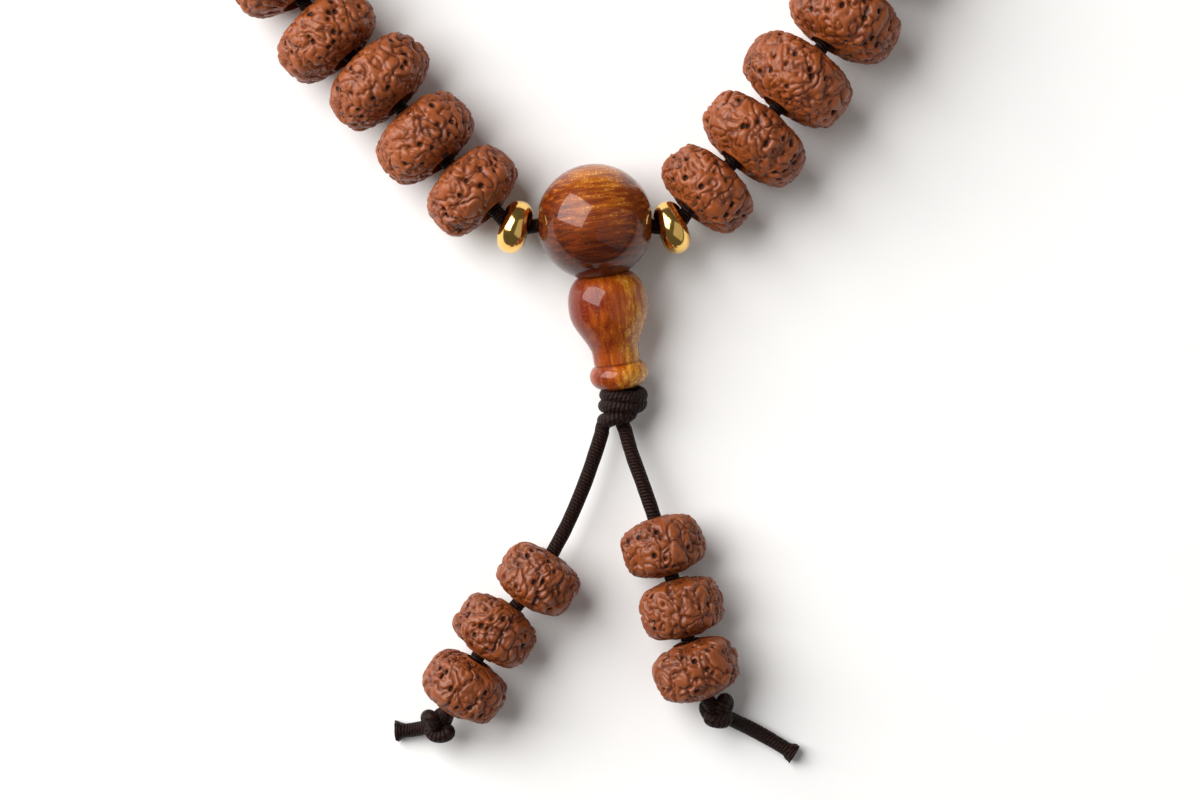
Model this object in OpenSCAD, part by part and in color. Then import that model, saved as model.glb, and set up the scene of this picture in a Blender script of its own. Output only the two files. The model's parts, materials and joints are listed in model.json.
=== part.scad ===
// Wrist mala: seeds on an elastic cord, with a guru bead, a gourd bead and two knotted tails.
// It lies on a table, +Z up, with the tails toward -Y. Millimetres.

/* [Loop seeds] */
// Number of seeds round the loop
seed_count = 27; // [23:2:29]
// Radius of the loop's round part, along the cord
loop_r = 26.3; // [26:0.1:30]
// Diameter of the seeds on the round part
seed_d = 8.8; // [7.5:0.1:9.2]
// Length of those seeds along the cord
seed_t = 5.35; // [4.4:0.05:5.4]
// Diameter of a loop seed's hole, which lets the seed lean on the cord
seed_bore = 2.7; // [2.7:0.1:2.9]
// How far the seeds beside the guru bead lean away from it; the lean fades toward the back
seed_lean = 9; // [0:1:9]

/* [Guru and gourd beads] */
// Diameter of the guru bead
guru_d = 9.5; // [9.3:0.1:9.7]
// Diameter of the guru bead's hole for the loop
guru_bore = 2.2; // [2.1:0.1:2.4]
// Diameter of the gourd bead's belly
belly_d = 6.5; // [5.6:0.1:7]
// Diameter of the gourd bead's neck
neck_d = 3.8; // [3.6:0.1:4.2]
// Diameter of the gourd bead's flange
flange_d = 4.8; // [4.4:0.1:5.4]
// Diameter of the hole that holds both strands
twin_bore = 2.8; // [2.7:0.05:2.9]

/* [Gold spacers] */
// Diameter of a spacer
spacer_d = 4.4; // [4:0.1:4.8]
// Length of a spacer along the cord
spacer_t = 2.7; // [2:0.1:2.7]
// Diameter of a spacer's hole
spacer_bore = 2.7; // [2.4:0.1:2.8]

/* [Cord and knots] */
// Diameter of the elastic cord
cord_d = 1.2; // [1:0.1:1.3]
// Diameter of the knot that joins both strands
main_knot_d = 4; // [3.6:0.1:4.2]
// Diameter of the knot at the end of each tail
end_knot_d = 3.4; // [3.1:0.1:3.6]

/* [Tail seeds] */
// Length of a tail seed along the cord
tail_seed_t = 4.95; // [4.4:0.05:5]
// Diameter of a tail seed's hole
tail_seed_bore = 2.2; // [2.1:0.1:2.4]

/* [Hidden] */
$fn = 48;
cord_sides = 8;
cord_r = cord_d / 2;
guru_r = guru_d / 2;
rest_gap = 0.1;

// The laid-out places below are measured from under the guru bead's centre; this moves them so that
// the origin is under the middle of the beads.
layout_shift = [1.51, -10.84, 0];

// Seeds laid by hand from the guru bead outward: [x, y, diameter, length]
left_seeds = [
    [-10.0, 2.7, 7.9, 5.1],
    [-13.8, 6.9, 8.3, 5.4],
    [-17.5, 11.5, 8.8, 5.4],
    [-21.7, 15.2, 8.6, 5.3],
    [-25.2, 20.1, 8.8, 5.4],
];
right_seeds = [
    [9.1, 2.8, 7.9, 4.9],
    [12.9, 6.8, 9.0, 5.2],
    [16.4, 11.6, 9.2, 5.8],
    [20.2, 16.7, 9.3, 5.9],
    [22.9, 22.1, 8.8, 5.35],
];
// Tail seeds from the main knot outward: [x, y, diameter, heading and slope of the hole]
left_tail_seeds = [
    [-4.6, -28.9, 6.9, 237, 0],
    [-8.1, -33.0, 7.0, 235, 0],
    [-10.6, -37.6, 7.1, 239, -6],
];
right_tail_seeds = [
    [5.5, -26.2, 7.0, 287, 0],
    [7.0, -31.2, 7.0, 285, 0],
    [8.2, -36.2, 7.1, 290, -6],
];

// The loop's places
placed = len(left_seeds);
arc_count = seed_count - 2 * placed;
arc_start = seed_xy(left_seeds[placed - 1]);
arc_end = seed_xy(right_seeds[placed - 1]);
arc_chord = norm(arc_end - arc_start);
arc_half = 180 - asin(arc_chord / 2 / loop_r);
arc_middle = (arc_start + arc_end) / 2;
arc_along = (arc_end - arc_start) / arc_chord;
arc_centre = arc_middle - [-arc_along.y, arc_along.x] * loop_r * cos(arc_half);
arc_from = atan2(arc_start.y - arc_centre.y, arc_start.x - arc_centre.x);

function seed_xy(row) = [row[0], row[1]];
function on_arc(i) =
    let (a = arc_from - 2 * arc_half * i / (arc_count + 1))
    arc_centre + loop_r * [cos(a), sin(a)];
// A leaning seed stands on its rim, a little higher
seed_lift = 0.04;
// Seeds differ a little, as they grew
function arc_seed_d(i) = seed_d + 0.3 * sin(137 * i);

loop_seeds = [
    for (row = left_seeds) row,
    for (i = [1 : arc_count]) [on_arc(i).x, on_arc(i).y, arc_seed_d(i), seed_t],
    for (i = [placed - 1 : -1 : 0]) right_seeds[i],
];

function seed_centre(i) = [loop_seeds[i][0], loop_seeds[i][1], loop_seeds[i][2] / 2 + seed_lift];

// Guru bead, spacers and the pendant's axis
guru_centre = [0, 0, guru_r];
spacer_left_centre = [-6.5, -0.3, 4.4];
spacer_left_axis = 161;
spacer_right_centre = [6.25, -0.35, 4.4];
spacer_right_axis = 20;

// The gourd bead and the main knot hang in one line from the guru bead's centre
pendant_heading = -81;
pendant_slope = -9;
function along_pendant(s, side = 0) =
    let (reach = s * cos(pendant_slope))
    guru_centre
    + [reach * cos(pendant_heading), reach * sin(pendant_heading), s * sin(pendant_slope)]
    + side * [-sin(pendant_heading), cos(pendant_heading), 0];
// Places along that line, from the guru bead's centre
belly_at = 7.1;
gourd_top = 3.85;
top_fullness = 2.6;
neck_at = 10.7;
flange_at = 12.6;
flange_t = 2.1;
gourd_end = flange_at + flange_t / 2;
knot_top = gourd_end + rest_gap;
knot_length = 2.6;
knot_side = -0.4;

// Headings of the loop's seeds
last_seed = seed_count - 1;
function seed_heading(i) =
    let (before = i == 0 ? spacer_left_centre : seed_centre(i - 1))
    let (after = i == last_seed ? spacer_right_centre : seed_centre(i + 1))
    atan2(after.y - before.y, after.x - before.x);
function seed_slope(i) = -seed_lean * cos(180 * i / last_seed);

// A tail seed that leans with the cord rests on its rim, a little higher
function tail_seed_centre(row) = [row[0], row[1], row[2] / 2 + (row[4] == 0 ? 0 : 0.02)];

// Cord routes
strand_side = 0.65;
function midway(a, b) = (a + b) / 2;
function spacer_run(centre) = centre + [0, -0.2, 0];
// The cord runs a little outside each seed's centre, so that it stays in the hole where the row turns
function seed_run(i) =
    let (before = i == 0 ? spacer_left_centre : seed_centre(i - 1))
    let (after = i == last_seed ? spacer_right_centre : seed_centre(i + 1))
    seed_centre(i) + 0.2 * (seed_centre(i) - midway(before, after));
loop_route = [
    along_pendant(knot_top - rest_gap / 2, -strand_side),
    along_pendant(11, -strand_side),
    along_pendant(8, -strand_side),
    along_pendant(5, -strand_side),
    along_pendant(2.4, -strand_side),
    along_pendant(1.1, -strand_side - 0.1),
    guru_centre + [-1.3, -0.1, 0],
    guru_centre + [-3, -0.1, -0.1],
    guru_centre + [-5, -0.35, -0.15],
    spacer_run(spacer_left_centre),
    midway(spacer_run(spacer_left_centre), seed_run(0)),
    for (i = [0 : last_seed], half = [0, 1])
        if (half == 0)
            seed_run(i)
        else if (i < last_seed)
            midway(seed_run(i), seed_run(i + 1)),
    midway(seed_run(last_seed), spacer_run(spacer_right_centre)),
    spacer_run(spacer_right_centre),
    guru_centre + [5, -0.35, -0.15],
    guru_centre + [3, -0.1, -0.1],
    guru_centre + [1.3, -0.1, 0],
    along_pendant(1.1, strand_side + 0.1),
    along_pendant(2.4, strand_side),
    along_pendant(5, strand_side),
    along_pendant(8, strand_side),
    along_pendant(11, strand_side),
    along_pendant(knot_top - rest_gap / 2, strand_side),
];
left_exit = [0.6, -16.9, 2.5];
right_exit = [2.4, -16.7, 2.5];
left_tail_route = [
    left_exit,
    [-0.1, -19.1, 2.9],
    [-1.0, -21.6, 3.3],
    [-2.2, -24.4, 3.4],
    [-3.4, -26.7, 3.45],
    [-4.6, -28.9, 3.45],
    [-6.3, -31.0, 3.5],
    [-8.1, -33.0, 3.5],
    [-9.5, -35.2, 3.6],
    [-10.6, -37.6, 3.5],
    [-11.9, -39.7, 3.1],
    [-12.8, -40.7, 2.4],
    [-13.6, -41.0, 1.5],
    [-14.9, -41.3, 0.8],
    [-16.3, -41.4, 0.65],
];
right_tail_route = [
    right_exit,
    [3.0, -18.8, 2.9],
    [3.8, -21.0, 3.3],
    [4.7, -23.6, 3.45],
    [5.5, -26.2, 3.5],
    [6.2, -28.7, 3.5],
    [7.0, -31.2, 3.5],
    [7.5, -33.7, 3.6],
    [8.2, -36.2, 3.5],
    [9.1, -38.6, 3.1],
    [10.0, -39.7, 2.4],
    [11.1, -40.4, 1.5],
    [12.7, -41.2, 0.8],
    [14.5, -42.2, 0.65],
    [16.3, -43.3, 0.65],
];
left_knot_at = [-12.8, -40.7, 2.4];
left_knot_heading = 230;
right_knot_at = [10.0, -39.7, 2.4];
right_knot_heading = 302;
end_knot_slope = -22;

function seed_name(i) = str("bead_", i < 10 ? "0" : "", i);

amber = [0.72, 0.42, 0.10];
gold = [0.90, 0.72, 0.30];
seed_brown = [0.55, 0.30, 0.18];
cord_brown = [0.16, 0.10, 0.09];

// Helpers
// Stands a shape made round +Z along a heading in the table's plane, or along a slope from it
module laid(centre, heading, slope = 0) {
    translate(centre)
        rotate([0, 90 - slope, heading])
            children();
}

// A swept round cord: one ring of points at each place of the route, closed at both ends
function unit(v) = v / norm(v);
function route_way(route, i) =
    unit(route[min(i + 1, len(route) - 1)] - route[max(i - 1, 0)]);
function ring(route, i, r) =
    let (way = route_way(route, i))
    let (across = unit(cross(way, [0, 0, 1])))
    let (up = cross(across, way))
    [for (k = [0 : cord_sides - 1])
        let (a = 360 * (k + 0.5) / cord_sides)
        route[i] + r * (cos(a) * across + sin(a) * up)];

module cord(route) {
    count = len(route);
    points = [for (i = [0 : count - 1]) each ring(route, i, cord_r)];
    sides = [
        for (i = [0 : count - 2], k = [0 : cord_sides - 1])
            let (next = (k + 1) % cord_sides, low = i * cord_sides, high = low + cord_sides)
            [low + k, low + next, high + next, high + k],
    ];
    near_end = [for (k = [cord_sides - 1 : -1 : 0]) k];
    far_end = [for (k = [0 : cord_sides - 1]) (count - 1) * cord_sides + k];
    polyhedron(points, [each sides, near_end, far_end], convexity = 10);
}

// Half of a bead's outline, from one end of its hole to the other; 2 is an ellipse, more is fuller
seed_fullness = 3;
spacer_fullness = 2.3;
outline_steps = 16;
function bead_rim(d, t, fullness) = [
    for (i = [0 : outline_steps])
        let (a = 180 * i / outline_steps)
        [d / 2 * pow(sin(a), 2 / fullness), t / 2 * sign(cos(a)) * pow(abs(cos(a)), 2 / fullness)],
];

module seed(d, t, bore) {
    color(seed_brown)
        difference() {
            rotate_extrude()
                polygon(bead_rim(d, t, seed_fullness));
            cylinder(h = t + 1, d = bore, center = true);
        }
}

// Sub-parts
module guru_bead() {
    color(amber)
        translate(guru_centre)
            difference() {
                sphere(r = guru_r);
                rotate([0, 90, 0])
                    cylinder(h = guru_d + 1, d = guru_bore, center = true);
                rotate([0, 90 - pendant_slope, pendant_heading]) {
                    cylinder(h = guru_d, d = twin_bore);
                    rotate_extrude()
                        polygon([each gourd_crown(rest_gap), [0, belly_at]]);
                }
                sphere(r = twin_bore / 2 + 0.6);
            }
}

// The gourd bead's rounded top, up to its belly
function gourd_crown(grow) = [
    for (i = [0 : outline_steps])
        let (a = 90 * i / outline_steps)
        [
            (belly_d / 2 + grow) * pow(sin(a), 2 / top_fullness),
            belly_at - (belly_at - gourd_top + grow) * pow(cos(a), 2 / top_fullness),
        ],
];

// Half the gourd bead's thickness at a place below its belly
function gourd_r(at) =
    let (swell = 0.5 + 0.5 * cos(180 * min(1, (at - belly_at) / (neck_at - belly_at))))
    neck_d / 2 + (belly_d - neck_d) / 2 * pow(swell, 0.8);

// Turned round the pendant's line, which starts at the guru bead's centre
module gourd_bead() {
    step = 0.5;
    color(amber)
        laid(guru_centre, pendant_heading, pendant_slope)
            difference() {
                rotate_extrude() {
                    polygon([
                        each gourd_crown(0),
                        for (at = [belly_at + step : step : flange_at]) [gourd_r(at), at],
                        [neck_d / 2, flange_at],
                        [0, flange_at],
                    ]);
                    translate([flange_d / 2 - flange_t / 2, flange_at])
                        circle(d = flange_t);
                    translate([0, flange_at - flange_t / 2])
                        square([flange_d / 2 - flange_t / 2, flange_t]);
                }
                cylinder(h = gourd_end + 1, d = twin_bore);
            }
}

module spacer() {
    color(gold)
        difference() {
            rotate_extrude()
                polygon(bead_rim(spacer_d, spacer_t, spacer_fullness));
            cylinder(h = spacer_t + 1, d = spacer_bore, center = true);
        }
}

module spacer_left() {
    laid(spacer_left_centre, spacer_left_axis)
        spacer();
}

module spacer_right() {
    laid(spacer_right_centre, spacer_right_axis)
        spacer();
}

module loop_cord() {
    color(cord_brown)
        cord(loop_route);
}

module main_knot() {
    wrap_d = knot_length / 2;
    color(cord_brown)
        laid(along_pendant(knot_top, knot_side), pendant_heading, pendant_slope) {
            for (turn = [0, 1])
                translate([0, 0, wrap_d * (turn + 0.5)])
                    rotate_extrude()
                        translate([main_knot_d / 2 - wrap_d / 2, 0])
                            circle(d = wrap_d);
            cylinder(h = knot_length, d = main_knot_d - wrap_d);
        }
}

module tail_cord_left() {
    color(cord_brown)
        cord(left_tail_route);
}

module tail_cord_right() {
    color(cord_brown)
        cord(right_tail_route);
}

// Two wraps of cord round the straight cord
module end_knot() {
    wrap_d = end_knot_d / 2 - cord_r - 0.05;
    color(cord_brown)
        for (side = [-1, 1])
            translate([0, 0, side * wrap_d * 0.48])
                rotate_extrude()
                    translate([end_knot_d / 2 - wrap_d / 2, 0])
                        circle(d = wrap_d);
}

module tail_knot_left() {
    laid(left_knot_at, left_knot_heading, end_knot_slope)
        end_knot();
}

module tail_knot_right() {
    laid(right_knot_at, right_knot_heading, end_knot_slope)
        end_knot();
}

module tail_seed(row) {
    laid(tail_seed_centre(row), row[3], row[4])
        seed(row[2], tail_seed_t, tail_seed_bore);
}

module loop_seed(i) {
    laid(seed_centre(i), seed_heading(i), seed_slope(i))
        seed(loop_seeds[i][2], loop_seeds[i][3], seed_bore);
}

translate(layout_shift) {
    guru_bead();
    gourd_bead();
    spacer_left();
    spacer_right();
    loop_cord();
    main_knot();
    tail_cord_left();
    tail_cord_right();
    tail_knot_left();
    tail_knot_right();
    for (i = [1 : 3]) {
        tail_seed(left_tail_seeds[i - 1]);
        tail_seed(right_tail_seeds[i - 1]);
    }
    for (i = [1 : seed_count])
        loop_seed(i - 1);
}
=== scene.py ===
# Wrist mala laid on a table: wrinkled seeds, an amber guru and gourd bead, gold spacers, braided cord
# The pieces are built in metres. A bead's outline, its relief and the cords' routes are written in mm.
# Beads take their places from the frame's joints and boxes.
import itertools
import json
import math
import random

import bmesh
import bpy
import numpy as np
from mathutils import Matrix, Vector, noise


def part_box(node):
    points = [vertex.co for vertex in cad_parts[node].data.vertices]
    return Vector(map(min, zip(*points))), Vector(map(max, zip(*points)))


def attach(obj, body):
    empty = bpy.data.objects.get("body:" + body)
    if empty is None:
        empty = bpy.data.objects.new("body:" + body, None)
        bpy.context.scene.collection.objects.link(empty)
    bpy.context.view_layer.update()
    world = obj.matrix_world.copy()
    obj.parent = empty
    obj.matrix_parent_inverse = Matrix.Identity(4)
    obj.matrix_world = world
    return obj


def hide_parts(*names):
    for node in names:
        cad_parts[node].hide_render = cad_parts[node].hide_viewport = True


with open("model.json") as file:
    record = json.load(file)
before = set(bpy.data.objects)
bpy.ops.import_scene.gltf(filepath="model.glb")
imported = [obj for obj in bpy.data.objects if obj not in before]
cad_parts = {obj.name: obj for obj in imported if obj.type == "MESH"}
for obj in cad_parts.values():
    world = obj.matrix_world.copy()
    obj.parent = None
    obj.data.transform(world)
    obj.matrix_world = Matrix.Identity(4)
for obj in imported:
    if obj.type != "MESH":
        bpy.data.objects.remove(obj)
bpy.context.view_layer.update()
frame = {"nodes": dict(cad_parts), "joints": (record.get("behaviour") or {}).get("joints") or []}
mm = 0.001
jointByChild = {joint["child"]: joint for joint in frame["joints"]}
guruLow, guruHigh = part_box("guru_bead")
guruCentre = (guruLow + guruHigh) / 2


# shared helpers
def newPiece(name, bm, material, smooth=True):
    mesh = bpy.data.meshes.new(name)
    bm.to_mesh(mesh)
    bm.free()
    for polygon in mesh.polygons:
        polygon.use_smooth = smooth
    piece = bpy.data.objects.new(name, mesh)
    bpy.context.scene.collection.objects.link(piece)
    piece.data.materials.append(material)
    return piece


def standFor(piece, body, slotName, *nodes):
    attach(piece, body)
    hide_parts(*nodes)


def turnedTo(centre, axis):  # takes a shape made round +Z at the origin to its place
    return Matrix.Translation(centre) @ Vector(axis).to_track_quat("Z", "Y").to_matrix().to_4x4()


def spinAround(bm, outline, steps):  # turns a closed outline of (radius, height) round +Z
    verts = [bm.verts.new((across, 0, height)) for across, height in outline]
    edges = [bm.edges.new((a, b)) for a, b in zip(verts, verts[1:] + verts[:1])]
    bmesh.ops.spin(bm, geom=verts + edges, axis=(0, 0, 1), cent=(0, 0, 0), angle=2 * math.pi,
                   steps=steps, use_merge=True)


def beadOutline(radius, length, bore, fullness, rows):  # the outer side of a drilled bead, from hole to hole
    power = 2 / fullness
    start = math.asin((bore / radius) ** (1 / power))
    outline = []
    for i in range(rows + 1):
        a = start + (math.pi - 2 * start) * i / rows
        height = math.copysign(abs(math.cos(a)) ** power, math.cos(a)) * length / 2
        outline.append((math.sin(a) ** power * radius, height))
    return outline


def smoothStep(low, high, value):
    share = min(1.0, max(0.0, (value - low) / (high - low)))
    return share * share * (3 - 2 * share)


# camera, straight above the beads
camera = {
    "lens": 200, "sensor": 36, "viewWidth": 97.3 * mm,
    "aimFromGuru": (0.4 * mm, -14.4 * mm), "aimHeight": 4 * mm,
}


def addCamera():
    data = bpy.data.cameras.new("camera")
    data.lens = camera["lens"]
    data.sensor_width = camera["sensor"]
    data.clip_start = 0.01
    eye = bpy.data.objects.new("camera", data)
    bpy.context.scene.collection.objects.link(eye)
    distance = camera["viewWidth"] * camera["lens"] / camera["sensor"]
    aim = camera["aimFromGuru"]
    eye.location = (guruCentre.x + aim[0], guruCentre.y + aim[1], camera["aimHeight"] + distance)
    bpy.context.scene.camera = eye


addCamera()
print("camera set")


# material helpers
def addNode(tree, kind, x, y, **values):
    node = tree.nodes.new(kind)
    node.location = (x, y)
    for name, value in values.items():
        setattr(node, name, value)
    return node


def addMath(tree, operation, x, y, first, second=None, third=None):
    node = addNode(tree, "ShaderNodeMath", x, y, operation=operation)
    for index, value in enumerate((first, second, third)):
        if value is None:
            continue
        if isinstance(value, (int, float)):
            node.inputs[index].default_value = value
        else:
            tree.links.new(value, node.inputs[index])
    return node.outputs[0]


def addRamp(tree, x, y, factor, stops):
    ramp = addNode(tree, "ShaderNodeValToRGB", x, y)
    elements = ramp.color_ramp.elements
    while len(elements) < len(stops):
        elements.new(0.5)
    for element, (place, colour) in zip(elements, stops):
        element.position = place
        element.color = (*colour, 1)
    tree.links.new(factor, ramp.inputs["Fac"])
    return ramp.outputs["Color"]


def addMix(tree, x, y, factor, first, second, blend="MIX"):
    node = addNode(tree, "ShaderNodeMix", x, y, data_type="RGBA", blend_type=blend)
    for name, value in (("Factor", factor), ("A", first), ("B", second)):
        socket = node.inputs[name]
        if isinstance(value, (int, float)):
            socket.default_value = value
        elif isinstance(value, tuple):
            socket.default_value = (*value, 1)
        else:
            tree.links.new(value, socket)
    return node.outputs["Result"]


def startMaterial(name):
    material = bpy.data.materials.new(name)
    material.use_nodes = True
    return material, material.node_tree, material.node_tree.nodes["Principled BSDF"]


def startGroup(name, inputs, outputs):
    tree = bpy.data.node_groups.new(name, "ShaderNodeTree")
    for socketName, kind, value in inputs:
        socket = tree.interface.new_socket(socketName, in_out="INPUT", socket_type=kind)
        socket.default_value = value
    for socketName, kind in outputs:
        tree.interface.new_socket(socketName, in_out="OUTPUT", socket_type=kind)
    start = addNode(tree, "NodeGroupInput", -1000, 0)
    end = addNode(tree, "NodeGroupOutput", 600, 0)
    return tree, start, end


def placeGroup(tree, group, x, y, **values):
    node = addNode(tree, "ShaderNodeGroup", x, y, node_tree=group)
    for name, value in values.items():
        node.inputs[name].default_value = value
    return node


# cord: braided tubes along a route
braid = {
    "radius": 0.6 * mm, "sides": 28, "step": 0.12 * mm,
    "ribPitch": 0.27 * mm, "ribSlant": 2, "threads": 9, "routeSamples": 24,
}

# The tails' routes from the main knot to the cut ends
leftTailRoute = [
    (0.6, -16.9, 2.5), (-0.1, -19.1, 2.9), (-1.0, -21.6, 3.3), (-2.2, -24.4, 3.4), (-3.4, -26.7, 3.45),
    (-4.6, -28.9, 3.45), (-6.3, -31.0, 3.5), (-8.1, -33.0, 3.5), (-9.5, -35.2, 3.6), (-10.6, -37.6, 3.5),
    (-11.9, -39.7, 3.1), (-12.8, -40.7, 2.4), (-13.6, -41.0, 1.5), (-14.9, -41.3, 0.8), (-16.3, -41.4, 0.65),
]
rightTailRoute = [
    (2.4, -16.7, 2.5), (3.0, -18.8, 2.9), (3.8, -21.0, 3.3), (4.7, -23.6, 3.45), (5.5, -26.2, 3.5),
    (6.2, -28.7, 3.5), (7.0, -31.2, 3.5), (7.5, -33.7, 3.6), (8.2, -36.2, 3.5), (9.1, -38.6, 3.1),
    (10.0, -39.7, 2.4), (11.1, -40.4, 1.5), (12.7, -41.2, 0.8), (14.5, -42.2, 0.65), (16.3, -43.3, 0.65),
]


def laidOut(route):  # routes are written in millimetres from under the guru bead's centre
    return [Vector((guruCentre.x + x * mm, guruCentre.y + y * mm, z * mm)) for x, y, z in route]


def smoothRoute(points, step, closed=False):  # a Catmull-Rom curve, sampled every step
    count = len(points)
    dense = []
    for i in range(count if closed else count - 1):
        near = range(i - 1, i + 3)
        corner = [points[k % count] if closed else points[min(max(k, 0), count - 1)] for k in near]
        for j in range(braid["routeSamples"]):
            t = j / braid["routeSamples"]
            dense.append(0.5 * (2 * corner[1] + (corner[2] - corner[0]) * t
                                + (2 * corner[0] - 5 * corner[1] + 4 * corner[2] - corner[3]) * t * t
                                + (3 * corner[1] - corner[0] - 3 * corner[2] + corner[3]) * t ** 3))
    dense.append(points[0].copy() if closed else points[-1].copy())
    travelled = [0.0]
    for a, b in zip(dense, dense[1:]):
        travelled.append(travelled[-1] + (b - a).length)
    steps = max(2, round(travelled[-1] / step))
    places = []
    k = 0
    for i in range(steps + 1):
        goal = travelled[-1] * i / steps
        while k < len(travelled) - 2 and travelled[k + 1] < goal:
            k += 1
        share = (goal - travelled[k]) / max(travelled[k + 1] - travelled[k], 1e-12)
        places.append(dense[k].lerp(dense[k + 1], share))
    return places, travelled[-1]


def braidedTube(name, points, material, closed=False, sides=None, radiusAt=None, step=None):
    places, length = smoothRoute(points, step or braid["step"], closed)
    sides = sides or braid["sides"]
    rings = len(places) - 1
    way = (places[1] - places[0]).normalized()
    across = way.cross(Vector((0, 0, 1))).normalized()
    frames = []
    for i, place in enumerate(places):
        ahead = places[min(i + 1, rings)] - places[max(i - 1, 0)]
        if closed and i in (0, rings):
            ahead = places[1] - places[rings - 1]
        ahead.normalize()
        across = (across - ahead * across.dot(ahead)).normalized()
        frames.append((place, across.copy(), ahead.cross(across)))
    twist = 0.0
    if closed:  # spreads out the turn left over when the ends meet
        first, last = frames[0], frames[-1]
        twist = math.atan2(last[1].dot(first[2]), last[1].dot(first[1]))
    ribs = max(1, round(length / braid["ribPitch"]))
    bm = bmesh.new()
    uvLayer = bm.loops.layers.uv.new("UVMap")
    bmesh.ops.create_grid(bm, x_segments=rings, y_segments=sides, size=1.0, calc_uvs=True)
    for face in bm.faces:
        for loop in face.loops:
            loop[uvLayer].uv.x *= ribs
    for vert in bm.verts:
        along = (vert.co.x + 1) / 2
        around = (vert.co.y + 1) / 2
        place, side, up = frames[round(along * rings)]
        angle = 2 * math.pi * around - twist * along
        radius = braid["radius"] * (0.975 + 0.04 * noise.noise(place / mm * 0.9))
        if radiusAt:
            radius *= radiusAt(along * length, length, angle)
        vert.co = place + (side * math.cos(angle) + up * math.sin(angle)) * radius
    bmesh.ops.remove_doubles(bm, verts=bm.verts, dist=1e-7)
    edges = [edge for edge in bm.edges if edge.is_boundary]
    if edges:
        bmesh.ops.holes_fill(bm, edges=edges, sides=0)
    bmesh.ops.recalc_face_normals(bm, faces=bm.faces)
    return newPiece(name, bm, material), places, length


def makeCordMaterial():  # fine ribs wound round the cord, each of a few threads
    material, tree, shader = startMaterial("ribbedElastic")
    uv = addNode(tree, "ShaderNodeUVMap", -1600, 0, uv_map="UVMap")
    split = addNode(tree, "ShaderNodeSeparateXYZ", -1400, 0)
    tree.links.new(uv.outputs["UV"], split.inputs[0])
    place = addNode(tree, "ShaderNodeTexCoord", -1600, -500)
    drift = addNode(tree, "ShaderNodeTexNoise", -1400, -250)
    drift.inputs["Scale"].default_value = 900
    fuzz = addNode(tree, "ShaderNodeTexNoise", -1400, -500)
    fuzz.inputs["Scale"].default_value = 5200
    fuzz.inputs["Detail"].default_value = 4
    patches = addNode(tree, "ShaderNodeTexNoise", -1400, -750)
    patches.inputs["Scale"].default_value = 350
    for texture in (drift, fuzz, patches):
        tree.links.new(place.outputs["Object"], texture.inputs["Vector"])
    slant = addMath(tree, "MULTIPLY_ADD", -1200, 0, split.outputs["Y"], braid["ribSlant"], split.outputs["X"])
    wander = addMath(tree, "MULTIPLY_ADD", -1000, 0, drift.outputs["Fac"], 0.9, slant)
    wave = addMath(tree, "SINE", -800, 0, addMath(tree, "MULTIPLY", -900, 0, wander, math.pi))
    rib = addMath(tree, "ABSOLUTE", -600, 0, wave)
    around = addMath(tree, "MULTIPLY", -1000, 200, split.outputs["Y"], 2 * math.pi * braid["threads"])
    thread = addMath(tree, "SINE", -600, 200, addMath(tree, "MULTIPLY_ADD", -800, 200, wander, 2.1, around))
    height = addMath(tree, "MULTIPLY_ADD", -400, 100, thread, 0.16, rib)
    rough = addMath(tree, "MULTIPLY_ADD", -200, -100, fuzz.outputs["Fac"], 0.5, height)
    # the colour follows the rib relief: painted shade between the ribs and a painted highlight on their tops,
    # with the fuzz as the fibres' own random tone
    stops = [(0.15, (0.002, 0.0006, 0.0004)), (0.55, (0.0095, 0.0026, 0.0017)),
             (0.98, (0.042, 0.0145, 0.0095))]
    tone = addRamp(tree, 0, 0, addMath(tree, "MULTIPLY", -50, 0, rough, 0.62), stops)
    faded = addMath(tree, "MULTIPLY", 100, -200, patches.outputs["Fac"], 0.6)
    tinted = addMix(tree, 300, 0, faded, tone, (0.0065, 0.0018, 0.0012))
    tree.links.new(tinted, shader.inputs["Base Color"])
    shader.inputs["Roughness"].default_value = 0.55
    shader.inputs["Specular IOR Level"].default_value = 0.12
    shader.inputs["Sheen Weight"].default_value = 0.02
    shader.inputs["Sheen Roughness"].default_value = 0.4
    bump = addNode(tree, "ShaderNodeBump", 300, -500)
    bump.inputs["Strength"].default_value = 0.9
    bump.inputs["Distance"].default_value = 0.07 * mm
    tree.links.new(rough, bump.inputs["Height"])
    tree.links.new(bump.outputs["Normal"], shader.inputs["Normal"])
    return material


cordMaterial = makeCordMaterial()
cutEnd = {"flareLength": 0.9 * mm, "flare": 0.32, "lumps": 0.16}


def frayedRadius(along, length, angle):  # the melted end swells into a lumpy rim
    swell = smoothStep(length - cutEnd["flareLength"], length - 0.15 * mm, along)
    lump = noise.noise(Vector((math.cos(angle) * 2.2, math.sin(angle) * 2.2, along / mm * 2.5)))
    return 1 + swell * (cutEnd["flare"] + cutEnd["lumps"] * lump * 2)


def addTail(side, route):
    name = f"tailCord_{side}"
    piece, places, length = braidedTube(name, laidOut(route), cordMaterial, radiusAt=frayedRadius)
    standFor(piece, f"tail_{side}", "braided_cord", f"tail_cord_{side}")
    return piece, places, length


tails = {side: addTail(side, route) for side, route in (("left", leftTailRoute), ("right", rightTailRoute))}
print("tail cords laid, mm:", {side: round(tail[2] / mm, 1) for side, tail in tails.items()})

# knots
endKnot = {"lobe": 0.4464 * mm, "height": 0.55 * mm, "points": 36, "twist": 1.55}


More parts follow.
